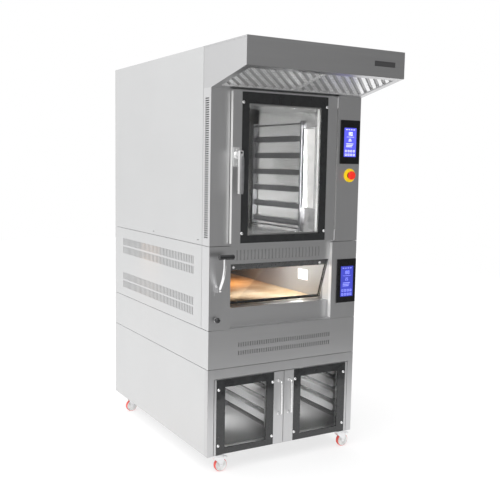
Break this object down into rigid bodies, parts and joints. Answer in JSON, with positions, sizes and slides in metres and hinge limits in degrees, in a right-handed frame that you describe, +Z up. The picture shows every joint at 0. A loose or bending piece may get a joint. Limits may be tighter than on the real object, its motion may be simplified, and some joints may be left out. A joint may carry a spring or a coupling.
{
  "type": "deck oven",
  "caption": "Bakery oven stack on casters: proofer cabinet, deck oven with side lever, glass door convection oven and extraction hood.",
  "frame": {"origin": "on the floor, under the middle of the bounding box", "axes": "+Z up, -Y out of the front, +X to the right seen from the front"},
  "size_m": [0.98, 1.773, 2.358],
  "materials": {
    "steel": "brushed stainless steel",
    "side_steel": "light satin stainless steel",
    "rack_steel": "drawn stainless wire and channel",
    "control_casing": "satin grey paint",
    "baking_stone": "fired stone",
    "seal_rubber": "moulded silicone",
    "lamp_glass": "frosted lamp cover",
    "screen_black": "gloss black panel",
    "yellow_plastic": "moulded",
    "red_plastic": "moulded",
    "brass_fittings": "turned brass",
    "door_glass": "black bordered safety glass",
    "dark_metal": "black heat proof paint",
    "bright_metal": "polished bar",
    "black_plastic": "moulded grip plastic",
    "zinc": "bright zinc plate",
    "red_tyre": "red polyurethane tread"
  },
  "bodies": {
    "cabinet": {"back_panels": "steel", "base_frame": "steel", "caster_plates": "steel", "chamber_lamps": "lamp_glass", "control_box": "control_casing", "deck_chamber": "steel", "deck_columns": "steel", "deck_heating_elements": "rack_steel", "deck_lower_panel": "steel", "deck_side_panels": "side_steel", "deck_stone_floor": "baking_stone", "deck_vent_band": "steel", "door_hinge_brackets": "steel", "estop_base": "yellow_plastic", "exhaust_spigot": "steel", "fan_baffle": "steel", "fan_motor": "control_casing", "hood_filters": "steel", "hood_shell": "steel", "module_decks": "steel", "oven_chamber": "steel", "oven_columns": "steel", "oven_door_gasket": "seal_rubber", "oven_front_flange": "steel", "oven_side_panels": "side_steel", "oven_tray_racks": "rack_steel", "proofer_divider": "steel", "proofer_front_frame": "steel", "proofer_side_panels": "side_steel", "proofer_tray_rails": "rack_steel", "rear_connections": "brass_fittings", "top_cover": "steel", "touchscreens": "screen_black", "vent_front_panel": "steel", "vent_side_panels": "side_steel"},
    "oven_door": {"oven_door_frame": "steel", "oven_door_glass": "door_glass"},
    "oven_handle": {"oven_handle": "black_plastic"},
    "deck_door": {"deck_door_glass": "door_glass", "deck_door_shaft": "dark_metal"},
    "deck_lever": {"deck_lever": "steel"},
    "damper_knob": {"damper_knob": "black_plastic"},
    "proofer_door_left": {"proofer_door_left": "steel", "proofer_glass_left": "door_glass", "proofer_handle_left": "bright_metal"},
    "proofer_door_right": {"proofer_door_right": "steel", "proofer_glass_right": "door_glass", "proofer_handle_right": "bright_metal"},
    "estop_button": {"estop_button": "red_plastic"},
    "convection_fan": {"convection_fan": "steel"},
    "fork_fl": {"caster_fork_fl": "zinc"},
    "wheel_fl": {"caster_wheel_fl": "red_tyre"},
    "fork_fr": {"caster_fork_fr": "zinc"},
    "wheel_fr": {"caster_wheel_fr": "red_tyre"},
    "fork_rl": {"caster_fork_rl": "zinc"},
    "wheel_rl": {"caster_wheel_rl": "red_tyre"},
    "fork_rr": {"caster_fork_rr": "zinc"},
    "wheel_rr": {"caster_wheel_rr": "red_tyre"},
    "pedal_fl": {"brake_pedal_fl": "black_plastic"},
    "pedal_fr": {"brake_pedal_fr": "black_plastic"}
  },
  "joints": [
    {"name": "oven_door_hinge", "type": "hinge", "parent": "cabinet", "child": "oven_door", "pos_m": [0.309, -0.5435, 1.676], "axis": [0, 0, 1], "range_deg": [0, 120]},
    {"name": "oven_handle_turn", "type": "hinge", "parent": "oven_door", "child": "oven_handle", "pos_m": [-0.348, -0.5495, 1.745], "axis": [0, -1, 0], "range_deg": [0, 90]},
    {"name": "deck_door_swing", "type": "hinge", "parent": "cabinet", "child": "deck_door", "pos_m": [0, -0.4815, 1.16], "axis": [1, 0, 0], "range_deg": [0, 70]},
    {"name": "deck_lever_pull", "type": "hinge", "parent": "cabinet", "child": "deck_lever", "pos_m": [-0.435, -0.5395, 1.025], "axis": [1, 0, 0], "range_deg": [0, 60]},
    {"name": "damper_slide", "type": "slide", "parent": "cabinet", "child": "damper_knob", "axis": [0, -1, 0], "range_m": [0, 0.06]},
    {"name": "proofer_left_hinge", "type": "hinge", "parent": "cabinet", "child": "proofer_door_left", "pos_m": [-0.443, -0.5175, 0.3165], "axis": [0, 0, -1], "range_deg": [0, 110]},
    {"name": "proofer_right_hinge", "type": "hinge", "parent": "cabinet", "child": "proofer_door_right", "pos_m": [0.443, -0.5175, 0.3165], "axis": [0, 0, 1], "range_deg": [0, 110]},
    {"name": "estop_press", "type": "slide", "parent": "cabinet", "child": "estop_button", "axis": [0, 1, 0], "range_m": [0, 0.005], "stiffness_N_per_m": 800},
    {"name": "fan_spin", "type": "hinge", "parent": "cabinet", "child": "convection_fan", "pos_m": [-0.04, 0.3265, 1.665], "axis": [0, 1, 0], "continuous": true},
    {"name": "swivel_fl", "type": "hinge", "parent": "cabinet", "child": "fork_fl", "pos_m": [-0.42, -0.4975, 0.088], "axis": [0, 0, 1], "continuous": true},
    {"name": "roll_fl", "type": "hinge", "parent": "fork_fl", "child": "wheel_fl", "pos_m": [-0.394, -0.4975, 0.0375], "axis": [0, 1, 0], "continuous": true},
    {"name": "brake_fl", "type": "hinge", "parent": "fork_fl", "child": "pedal_fl", "pos_m": [-0.381, -0.4975, 0.083], "axis": [0, 1, 0], "range_deg": [0, 12]},
    {"name": "swivel_fr", "type": "hinge", "parent": "cabinet", "child": "fork_fr", "pos_m": [0.42, -0.4975, 0.088], "axis": [0, 0, 1], "continuous": true},
    {"name": "roll_fr", "type": "hinge", "parent": "fork_fr", "child": "wheel_fr", "pos_m": [0.446, -0.4975, 0.0375], "axis": [0, 1, 0], "continuous": true},
    {"name": "brake_fr", "type": "hinge", "parent": "fork_fr", "child": "pedal_fr", "pos_m": [0.459, -0.4975, 0.083], "axis": [0, 1, 0], "range_deg": [0, 12]},
    {"name": "swivel_rl", "type": "hinge", "parent": "cabinet", "child": "fork_rl", "pos_m": [-0.42, 0.7025, 0.088], "axis": [0, 0, 1], "continuous": true},
    {"name": "roll_rl", "type": "hinge", "parent": "fork_rl", "child": "wheel_rl", "pos_m": [-0.446, 0.7025, 0.0375], "axis": [0, 1, 0], "continuous": true},
    {"name": "swivel_rr", "type": "hinge", "parent": "cabinet", "child": "fork_rr", "pos_m": [0.42, 0.7025, 0.088], "axis": [0, 0, 1], "continuous": true},
    {"name": "roll_rr", "type": "hinge", "parent": "fork_rr", "child": "wheel_rr", "pos_m": [0.394, 0.7025, 0.0375], "axis": [0, 1, 0], "continuous": true}
  ],
  "couplings": [
    {"joint": "deck_lever_pull", "follows": "deck_door_swing", "ratio": 0.857}
  ]
}
